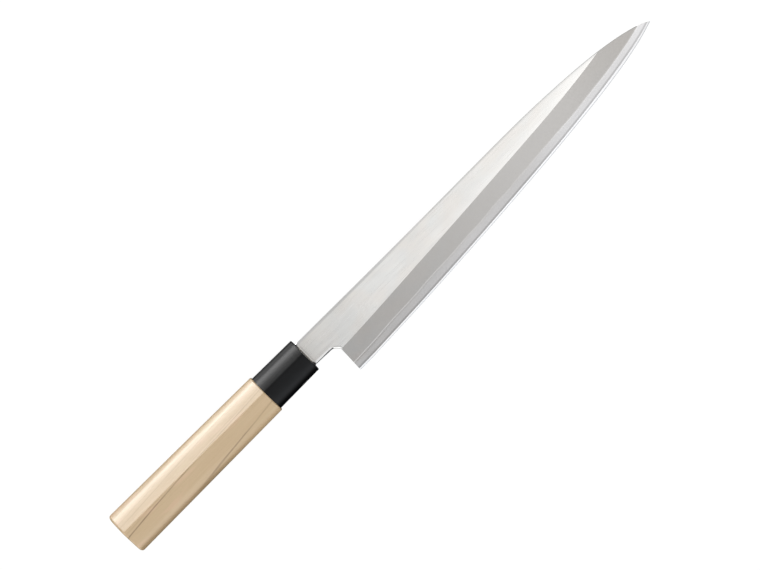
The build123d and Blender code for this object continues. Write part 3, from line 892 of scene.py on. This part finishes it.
def flat_extra(net, colour, roughness):
    # painted shade: the ground face is a little darker towards the neck and the tip, and darker and warmer right at the
    # ferrule
    ways = net.node("ShaderNodeSeparateXYZ", {0: net.where()})
    x = ways.outputs[0]
    colour = net.scaled(colour, net.maths(
        "MULTIPLY", net.fit(x, -0.040, -0.008, 0.890, 1.0, smooth=True), net.fit(x, 0.110, 0.140, 1.0, 0.96, smooth=True),
    ))
    near = net.fit(x, -0.0515, -0.0405, 0.72, 0.0, smooth=True)
    colour = net.mix(near, colour, (0.64, 0.625, 0.60))
    # painted highlight: a thin bright line along the rim of the shoulder
    painted_light = net.fit(net.maths("ABSOLUTE", net.maths("SUBTRACT", x, -0.05246)), 0.0001, 0.0004, 0.75, 0.0, smooth=True)
    colour = net.mix(painted_light, colour, (0.94, 0.935, 0.925))
    # painted reflection: a dark band across the middle of the neck just behind the shoulder, where the black ferrule is
    # mirrored
    shade = net.fit(net.maths("ABSOLUTE", net.maths("SUBTRACT", x, -0.05180)), 0.0001, 0.0006, 0.40, 0.0, smooth=True)
    middle = net.fit(net.maths("ABSOLUTE", net.maths("SUBTRACT", ways.outputs[1], 0.006)), 0.0035, 0.0060, 1.0, 0.0, smooth=True)
    colour = net.mix(net.maths("MULTIPLY", shade, middle), colour, (0.40, 0.38, 0.355))
    # brighter beside the ridge line, from the middle of the blade on
    beside = net.maths("MULTIPLY", net.fit(attribute(net, "from_ridge"), 0.0, 5.0, 1.0, 0.0), net.fit(x, 0.010, 0.070, 0.0, 0.8, smooth=True))
    colour = net.mix(beside, colour, (0.925, 0.915, 0.90))
    # painted shade: the broken edge of the spine shades off into the face as a darker band, widest at the neck
    wide = net.fit(x, -0.020, 0.040, 1.75, 1.15, smooth=True)
    line = net.fit(net.maths("DIVIDE", attribute(net, "from_spine"), wide), 0.38, 1.0, 1.0, 0.0, smooth=True)
    fade = net.maths(
        "MULTIPLY", net.fit(x, -0.030, 0.030, 1.0, 0.66, smooth=True), net.fit(x, 0.090, 0.130, 1.0, 0.60, smooth=True),
    )
    colour = net.mix(net.maths("MULTIPLY", line, fade), colour, (0.57, 0.565, 0.56))
    # on the lower rim of the neck, a painted highlight along it and a painted dark reflection at its outer edge, weaker
    # towards the ferrule
    rim = attribute(net, "from_neck")
    painted_rim_highlight = net.fit(net.maths("ABSOLUTE", net.maths("SUBTRACT", rim, 0.98)), 0.12, 0.50, 0.90, 0.0, smooth=True)
    colour = net.mix(painted_rim_highlight, colour, (0.95, 0.945, 0.94))
    # painted dark reflection: a near-black band at the rim's outer edge
    scale = net.fit(rim, 0.42, 0.71, 1.0, 0.0, smooth=True)
    painted_shade_fade = net.fit(x, -0.0520, -0.0446, 0.15, 0.94)
    return net.mix(net.maths("MULTIPLY", scale, painted_shade_fade), colour, (0.035, 0.033, 0.031)), roughness


def bevel_extra(net, colour, roughness):
    # painted light makes it brighter along the blade; a thin bright line by the weld fades towards the tip
    x = along_x(net)
    painted_light = net.maths(
        "MULTIPLY", net.fit(x, -0.050, 0.080, 0.0, 1.0), net.fit(x, 0.105, 0.160, 1.0, 0.55, smooth=True),
    )
    colour = net.mix(painted_light, colour, (0.524, 0.508, 0.490))
    gap = attribute(net, "from_weld")
    line = net.fit(net.maths("ABSOLUTE", gap), 0.05, 0.62, 1.0, 0.0, smooth=True)
    fade = net.fit(x, -0.030, 0.11, 0.50, 0.25, smooth=True)
    return net.mix(net.maths("MULTIPLY", line, fade), colour, (0.78, 0.77, 0.76)), roughness


def core_extra(net, colour, roughness):
    # painted light makes it brighter towards the tip; a soft grey line lies above the narrow bevel
    x = along_x(net)
    for start, stop, shade in (
        (-0.033, 0.042, (0.596, 0.584, 0.578)), (0.078, 0.108, (0.718, 0.711, 0.714)), (0.118, 0.150, (0.690, 0.683, 0.688)), (0.152, 0.166, (0.745, 0.738, 0.746)),
    ):
        colour = net.mix(net.fit(x, start, stop, 0.0, 1.0), colour, shade)
    gap = attribute(net, "from_koba")
    line = net.fit(net.maths("ABSOLUTE", net.maths("SUBTRACT", gap, 0.40)), 0.05, 0.85, 0.30, 0.0, smooth=True)
    colour = net.scaled(colour, net.maths("SUBTRACT", 1.0, line))
    return colour, roughness


def koba_extra(net, colour, roughness):
    # painted light makes it brighter towards the tip, and a painted darker reflection makes the last bit before the
    # edge greyer
    colour = net.mix(net.fit(along_x(net), 0.010, 0.080, 0.0, 1.0, smooth=True), colour, (0.855, 0.840, 0.828))
    gap = attribute(net, "from_edge")
    line = net.fit(gap, 0.30, 0.46, 1.0, 0.0, smooth=True)
    return net.mix(line, colour, (0.56, 0.56, 0.565)), roughness


steel_flat = steel("steel_flat", (0.824, 0.814, 0.800), 0.30, 0.022, (55.0, 4200.0, 4200.0), 0.025, 0.0000018, flat_extra)
steel_bevel = steel("steel_bevel", (0.346, 0.332, 0.317), 0.38, 0.03, (900.0, 2600.0, 2600.0), 0.03, 0.0000030, bevel_extra)
steel_core = steel("steel_core", (0.425, 0.413, 0.404), 0.34, 0.02, (1200.0, 3200.0, 3200.0), 0.045, 0.0000020, core_extra)
steel_koba = steel("steel_koba", (0.750, 0.734, 0.724), 0.30, 0.02, (300.0, 5200.0, 5200.0), 0.01, 0.0000012, koba_extra)
steel_side = steel("steel_side", (0.80, 0.79, 0.775), 0.34, 0.04, (120.0, 3800.0, 3800.0), 0.02, 0.0000030)
# painted dark reflection: the broken edges along the spine get a near-black colour
steel_break_painted_dark = steel("steel_break_painted_dark", (0.125, 0.124, 0.122), 0.22, 0.04, (120.0, 3800.0, 3800.0), 0.02, 0.0000030)
steel_back = steel("steel_back", (0.86, 0.852, 0.842), 0.26, 0.05, (60.0, 3600.0, 3600.0), 0.02, 0.0000030)

# pale, straight-grained wood, sanded and left bare
wood, net = material("pale_wood")
here = net.where()
drift = net.noise(net.stretched((16.0, 90.0, 90.0), (1.3, 0.0, 4.0)), detail=2.0)
axes = net.node("ShaderNodeSeparateXYZ", {0: here})
# millimetres across the growth rings, which run nearly in line with the handle
depth = net.maths(
    "ADD",
    net.maths("MULTIPLY_ADD", axes.outputs[1], 1000.0, net.maths("MULTIPLY", axes.outputs[0], -68.0)),
    net.maths("MULTIPLY_ADD", axes.outputs[2], -654.0, net.fit(drift, 0.3, 0.7, -0.45, 0.45)),
)
fibre = net.noise(net.stretched((38.0, 1500.0, 1500.0), (0.0, 2.0, 7.0), (0.0, 0.0, math.radians(3.5))), detail=4.0, rough=0.62)
fine = net.noise(net.stretched((240.0, 5200.0, 5200.0), (5.0, 2.0, 3.0), (0.0, 0.0, math.radians(3.5))), detail=2.0, rough=0.6)
pores = net.noise(net.stretched((420.0, 7000.0, 7000.0), (2.0, 8.0, 1.0), (0.0, 0.0, math.radians(3.5))), detail=1.0)
pore = net.fit(pores, 0.68, 0.76, 0.0, 1.0, smooth=True)
broad = net.noise(net.stretched((14.0, 190.0, 190.0), (4.0, 6.0, 2.0), (0.0, 0.0, math.radians(3.5))), detail=2.0)
pale, deep = (0.564, 0.412, 0.241), (0.499, 0.355, 0.198)
colour = net.mix(net.fit(fibre, 0.30, 0.72, 0.0, 0.55), pale, deep)
colour = net.mix(net.fit(broad, 0.42, 0.66, 0.0, 0.45, smooth=True), colour, (0.622, 0.466, 0.287))
colour = net.mix(net.fit(fine, 0.35, 0.70, 0.0, 0.14), colour, (0.47, 0.325, 0.185))
colour = net.mix(net.maths("MULTIPLY", pore, 0.35), colour, (0.34, 0.22, 0.12))
# few growth rings: each darkens slowly towards a thin line and ends there
RINGS = [  # depth, strength of the thin line, strength of the tint before it, lean along the handle
    (-10.7, 0.30, 0.12, 0.0), (-3.81, 0.62, 0.26, 0.016), (3.66, 0.92, 0.20, 0.0), (5.0, 0.16, 0.04, 0.0),
    (9.60, 0.20, 0.08, 0.0), (11.6, 0.12, 0.05, 0.0), (16.0, 0.26, 0.10, 0.0), (22.0, 0.30, 0.10, 0.0),
]
broken = net.noise(net.stretched((60.0, 500.0, 500.0), (7.0, 1.0, 3.0)), detail=2.0)
fading = net.maths(
    "MULTIPLY", net.fit(broken, 0.32, 0.62, 0.55, 1.0, smooth=True),
    net.fit(axes.outputs[0], -0.150, -0.118, 1.0, 0.42, smooth=True),
)
steady = net.fit(broken, 0.32, 0.62, 0.45, 1.0, smooth=True)
for level, line, tint, lean in RINGS:
    gap = net.maths("SUBTRACT", depth, level)
    if lean:
        gap = net.maths("MULTIPLY_ADD", net.maths("SUBTRACT", axes.outputs[0], -0.080), -1000.0 * lean, gap)
    thin = net.fit(net.maths("ABSOLUTE", gap), 0.06, 0.42, line, 0.0, smooth=True)
    soft = net.maths("MULTIPLY", net.fit(gap, -2.6, 0.0, 0.0, 1.0, smooth=True), net.fit(gap, 0.0, 0.2, tint, 0.0))
    colour = net.mix(soft, colour, (0.50, 0.375, 0.195))
    colour = net.mix(net.maths("MULTIPLY", thin, fading if level == 3.66 else steady), colour, (0.215, 0.125, 0.058))
pink = net.fit(net.noise(net.stretched((60.0, 260.0, 260.0), (11.0, 3.0, 5.0)), detail=1.0), 0.56, 0.70, 0.0, 0.22, smooth=True)
colour = net.mix(pink, colour, (0.72, 0.455, 0.320))
green = net.fit(net.noise(net.stretched((30.0, 170.0, 170.0), (6.0, 1.0, 2.0)), detail=2.0), 0.58, 0.72, 0.0, 0.22, smooth=True)
colour = net.mix(green, colour, (0.58, 0.50, 0.27))
# the end grain drinks in more light
facing_way = net.node("ShaderNodeSeparateXYZ", {0: net.node("ShaderNodeNewGeometry").outputs["Normal"]})
end = net.fit(net.maths("ABSOLUTE", facing_way.outputs[0]), 0.6, 0.95, 0.0, 0.45, smooth=True)
colour = net.mix(end, colour, (0.42, 0.29, 0.165))
# and painted shade makes the faces turned to the edge side darker towards the butt
lower = net.maths(
    "MULTIPLY", net.fit(facing_way.outputs[1], -0.40, -0.78, 0.0, 0.72, smooth=True), net.fit(axes.outputs[0], -0.120, -0.090, 1.0, 0.15),
)
colour = net.mix(lower, colour, (0.36, 0.245, 0.130))
height = net.maths("ADD", net.maths("MULTIPLY", fibre, 0.6), net.maths("SUBTRACT", net.maths("MULTIPLY", fine, 0.25), net.maths("MULTIPLY", pore, 0.5)))
net.surface({
    "Base Color": colour, "Roughness": net.fit(fibre, 0.3, 0.7, 0.39, 0.46), "Specular IOR Level": 0.69,
    "Normal": net.bump(height, 0.00003, 0.6),
})  # fmt: skip

# black moulded resin with a soft gloss
resin, net = material("black_resin")
mottle = net.noise(net.stretched((160.0, 240.0, 240.0)), detail=3.0)
grit = net.noise(net.stretched((900.0, 2600.0, 2600.0)), detail=2.0)
net.surface({
    "Base Color": net.mix(net.fit(mottle, 0.35, 0.65, 0.0, 1.0), (0.0012, 0.0013, 0.0015), (0.0024, 0.0026, 0.0030)),
    "Roughness": net.fit(grit, 0.3, 0.7, 0.31, 0.38), "Specular IOR Level": 0.168,
    "Normal": net.bump(grit, 0.000004, 0.5),
})  # fmt: skip

glue, net = material("cured_resin")
bubbles = net.noise(net.stretched((600.0, 600.0, 600.0)), detail=2.0)
net.surface({
    "Base Color": net.mix(net.fit(bubbles, 0.35, 0.65, 0.0, 1.0), (0.52, 0.43, 0.27), (0.62, 0.53, 0.36)),
    "Roughness": net.fit(bubbles, 0.3, 0.7, 0.5, 0.65),
})  # fmt: skip

rubber, net = material("seal_rubber")
grain = net.noise(net.stretched((1800.0, 1800.0, 1800.0)), detail=2.0)
net.surface({
    "Base Color": net.mix(net.fit(grain, 0.35, 0.65, 0.0, 1.0), (0.010, 0.009, 0.009), (0.022, 0.020, 0.019)),
    "Roughness": net.fit(grain, 0.3, 0.7, 0.55, 0.72),
    "Normal": net.bump(grain, 0.00001, 0.5),
})  # fmt: skip


# ---------------------------------------------------------------- pieces
def dress(name, mesh, materials, pick, sharp_angle=28.0, apart=()):
    """Smooth shading with kept creases, and a material for each face from its middle and normal."""
    for m in materials:
        mesh.materials.append(m)
    bm = bmesh.new()
    bm.from_mesh(mesh)
    kinds = {}
    for f in bm.faces:
        c = f.calc_center_median()
        f.smooth = True
        f.material_index, kinds[f.index] = pick(1000 * c.x - FRONT, 1000 * c.y - AXIS, 1000 * c.z - LIFT, f.normal)
    for e in bm.edges:
        if len(e.link_faces) == 2:
            a, b = e.link_faces
            pair = {kinds[a.index], kinds[b.index]}
            turn = a.normal.angle(b.normal, 0.0)
            e.smooth = not (turn > math.radians(sharp_angle) or any(pair == set(p) for p in apart))
    bm.to_mesh(mesh)
    bm.free()
    ob = linked(name, mesh)
    even = ob.modifiers.new("even_normals", "WEIGHTED_NORMAL")
    even.keep_sharp, even.weight = True, 50
    return ob


def blade_kind(x, y, z, n):
    """Which face of the blade a point belongs to."""
    if x < SHOULDER - 0.02 or (x < SHOULDER + 0.02 and abs(n.x) > 0.9):
        return "end"
    if n.z < -0.1:
        return "under"
    if n.z < 0.1:
        return "wall"
    if n.z < 0.85 and y > spine_y(x) - 1.0 and x > 1.3:
        return "break"
    if chain_distance(x, y) < NECK_ROUND and top_z(x, y) < faces_z(x, y) - 1e-4:
        return "rim"
    if y < edge_y(x) + koba_w(x) and x > 13:
        return "koba"
    if y < ridge_y(x) and x > 12:
        return "bevel" if y > steel_y(x) else "band"
    return "flat"


def pick_soft(x, y, z, n):
    kind = blade_kind(x, y, z, n)
    return {"flat": 0, "rim": 0, "bevel": 1, "band": 1, "koba": 1, "break": 3}.get(kind, 2), kind


def pick_core(x, y, z, n):
    kind = blade_kind(x, y, z, n)
    index = {"koba": 1, "under": 2, "wall": 3, "break": 3, "end": 3, "flat": 3, "rim": 3}.get(kind, 0)
    return index, kind


CREASES = (
    ("flat", "bevel"), ("flat", "break"), ("bevel", "break"), ("band", "break"), ("band", "koba"), ("koba", "break"),
    ("rim", "bevel"), ("koba", "wall"), ("wall", "break"), ("bevel", "koba"),
)
blade_soft = dress("blade_soft_steel", soft_mesh, [steel_flat, steel_bevel, steel_side, steel_break_painted_dark], pick_soft, apart=CREASES)
blade_hard = dress(
    "blade_cutting_steel", core_mesh, [steel_core, steel_koba, steel_back, steel_side], pick_core, apart=CREASES
)
for ob in (blade_soft, blade_hard):
    gaps = {"from_weld": [], "from_koba": [], "from_edge": [], "from_spine": [], "from_ridge": [], "from_neck": []}
    for v in ob.data.vertices:
        x, y = 1000 * v.co.x - FRONT, 1000 * v.co.y - AXIS
        inside = x > 12.0
        gaps["from_weld"].append(y - steel_y(x) if inside else 9.0)
        gaps["from_koba"].append(y - edge_y(x) - koba_w(x) if inside else 9.0)
        gaps["from_edge"].append(y - edge_y(x) if inside else 9.0)
        gaps["from_spine"].append(spine_y(x) - y if x > SHOULDER else 9.0)
        gaps["from_ridge"].append(y - ridge_y(x) if inside else 9.0)
        gaps["from_neck"].append(chain_distance(x, y) if 1.0 < x < 11.8 and y < -4.0 else 9.0)
    for name, values in gaps.items():
        ob.data.attributes.new(name, "FLOAT", "POINT")
        ob.data.attributes[name].data.foreach_set("value", values)

grip = dress("wooden_grip", handle_mesh, [wood], lambda *_: (0, "wood"))
collar = dress("black_ferrule", ferrule_mesh, [resin], lambda *_: (0, "resin"))

for ob, node, slot in (
    (blade_soft, "blade_cladding", "soft_steel"), (blade_hard, "blade_core", "cutting_steel"),
    (grip, "handle", "wood"), (collar, "ferrule", "black_resin"),
):  # fmt: skip
    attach(ob, "root")
    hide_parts(node)
for node, finish in (("tang_adhesive", glue), ("tang_seal", rubber)):
    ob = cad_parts[node]
    if not ob.material_slots:
        ob.data.materials.append(finish)
    for slot in ob.material_slots:
        slot.material = finish

# ---------------------------------------------------------------- floor, light and camera
bm = bmesh.new()
bmesh.ops.create_circle(bm, cap_ends=True, segments=96, radius=4.0)
mesh = bpy.data.meshes.new("floor")
bm.to_mesh(mesh)
bm.free()
floor = linked("floor", mesh)
paper, net = material("pale_paper")
tooth = net.noise(net.stretched((300.0, 300.0, 300.0)), detail=2.0)
tone = net.node(
    "ShaderNodeMix", {0: net.fit(tooth, 0.3, 0.7, 0.0, 1.0), 6: (0.065, 0.065, 0.065, 1), 7: (0.075, 0.075, 0.075, 1)},
    data_type="RGBA",
).outputs[2]
matt = net.node("ShaderNodeBsdfDiffuse", {"Color": tone})
glow = net.node("ShaderNodeEmission", {"Color": (1, 1, 1, 1), "Strength": 0.965})
both = net.node("ShaderNodeAddShader", {0: matt.outputs[0], 1: glow.outputs[0]})
net.node("ShaderNodeOutputMaterial", {"Surface": both.outputs[0]})
mesh.materials.append(paper)
floor.visible_glossy = False
floor.visible_diffuse = False

world = bpy.data.worlds.new("studio")
bpy.context.scene.world = world
world.use_nodes = True
net = Net(world.node_tree)
facing = net.node("ShaderNodeTexCoord").outputs["Generated"]
LOBES = [  # direction, how tight, strength, colour; the first ones fade out at the horizon
    ((0.50, 0.03, 0.866), 10.0, 1.85, (1.0, 0.995, 0.985)),
    ((0.02, -0.766, 0.643), 26.0, 2.60, (0.955, 1.0, 1.07)),
]
LOW_LOBES = [  # and these are the pale surroundings on three sides
    ((-0.72, -0.62, 0.30), 7.0, 2.20, (1.0, 1.0, 1.0)),
    ((0.0, 0.995, -0.05), 11.0, 4.60, (1.0, 1.0, 1.0)),
    ((-1.0, 0.0, -0.15), 5.0, 0.55, (1.0, 1.0, 1.0)),
    ((0.95, 0.10, 0.25), 8.0, 0.35, (1.0, 1.0, 1.0)),
]


def add(a, b):
    return net.node("ShaderNodeVectorMath", {0: a, 1: b}, operation="ADD").outputs[0]


def with_lobes(total, lobes):
    for direction, tight, strength, tint in lobes:
        aim = tuple(Vector(direction).normalized())
        dot = net.node("ShaderNodeVectorMath", {0: facing, 1: aim}, operation="DOT_PRODUCT").outputs["Value"]
        lobe = net.maths("EXPONENT", net.maths("MULTIPLY", net.maths("SUBTRACT", dot, 1.0), tight))
        shade = net.node("ShaderNodeCombineXYZ", {0: tint[0] * strength, 1: tint[1] * strength, 2: tint[2] * strength})
        total = add(total, net.scaled(shade.outputs[0], lobe))
    return total


total = with_lobes(net.node("ShaderNodeCombineXYZ", {0: 0.20, 1: 0.20, 2: 0.20}).outputs[0], LOBES)
up = net.node("ShaderNodeSeparateXYZ", {0: facing}).outputs[2]
total = net.scaled(total, net.fit(up, -0.05, 0.12, 0.18, 1.0, smooth=True))
total = with_lobes(total, LOW_LOBES)
# reflections find it dark low down on the edge side; matt surfaces get light back from the pale floor
glint = net.node("ShaderNodeLightPath").outputs["Is Glossy Ray"]
dark_way = tuple(Vector((0.10, -0.90, -0.42)).normalized())
dark = net.node("ShaderNodeVectorMath", {0: facing, 1: dark_way}, operation="DOT_PRODUCT").outputs["Value"]
dark = net.fit(dark, 0.70, 0.92, 0.0, 1.0, smooth=True)
total = net.scaled(total, net.maths("SUBTRACT", 1.0, net.maths("MULTIPLY", glint, dark)))
bounce = net.maths("MULTIPLY", net.fit(up, -0.15, 0.0, 0.02, 0.0, smooth=True), net.maths("SUBTRACT", 1.0, glint))
total = add(total, net.node("ShaderNodeCombineXYZ", {0: bounce, 1: bounce, 2: bounce}).outputs[0])
studio = net.node("ShaderNodeBackground", {"Color": total, "Strength": 1.0})
plain = net.node("ShaderNodeBackground", {"Color": (0.93, 0.93, 0.93, 1.0), "Strength": 1.0})
sight = net.node("ShaderNodeLightPath").outputs["Is Camera Ray"]
choice = net.node("ShaderNodeMixShader", {0: sight, 1: studio.outputs[0], 2: plain.outputs[0]})
net.node("ShaderNodeOutputWorld", {"Surface": choice.outputs[0]})


def lamp(name, at, towards, size, power, colour=(1, 1, 1)):
    data = bpy.data.lights.new(name, "AREA")
    data.shape, data.size, data.size_y = "RECTANGLE", size[0], size[1]
    data.energy, data.color = power, colour
    ob = bpy.data.objects.new(name, data)
    bpy.context.scene.collection.objects.link(ob)
    ob.location = at
    ob.rotation_euler = (Vector(towards) - Vector(at)).to_track_quat("-Z", "Y").to_euler()
    return ob


lamp("key", (-0.05, 0.724, 0.556), (-0.02, 0.0, 0.0), (0.9, 0.44), 1.18)
card = lamp("card", (-0.05, 0.729, 0.560), (-0.02, 0.0, 0.0), (0.9, 0.44), 19.8)
card.visible_diffuse = False

camera_data = bpy.data.cameras.new("camera")
camera = bpy.data.objects.new("camera", camera_data)
bpy.context.scene.collection.objects.link(camera)
camera_data.sensor_width, camera_data.lens = 36.0, 135.0
camera_data.clip_start, camera_data.clip_end = 0.05, 20.0
VIEW_WIDTH = 0.3543  # metres across the frame, in the plane of the knife
camera.location = (0.001 * (FRONT + 47.80), 0.001 * (AXIS - 1.69), 0.001 * LIFT + VIEW_WIDTH * camera_data.lens / 36.0)
camera.rotation_euler = (0.0, 0.0, -math.pi / 4)
bpy.context.scene.camera = camera
bpy.context.scene.view_settings.view_transform = "Standard"
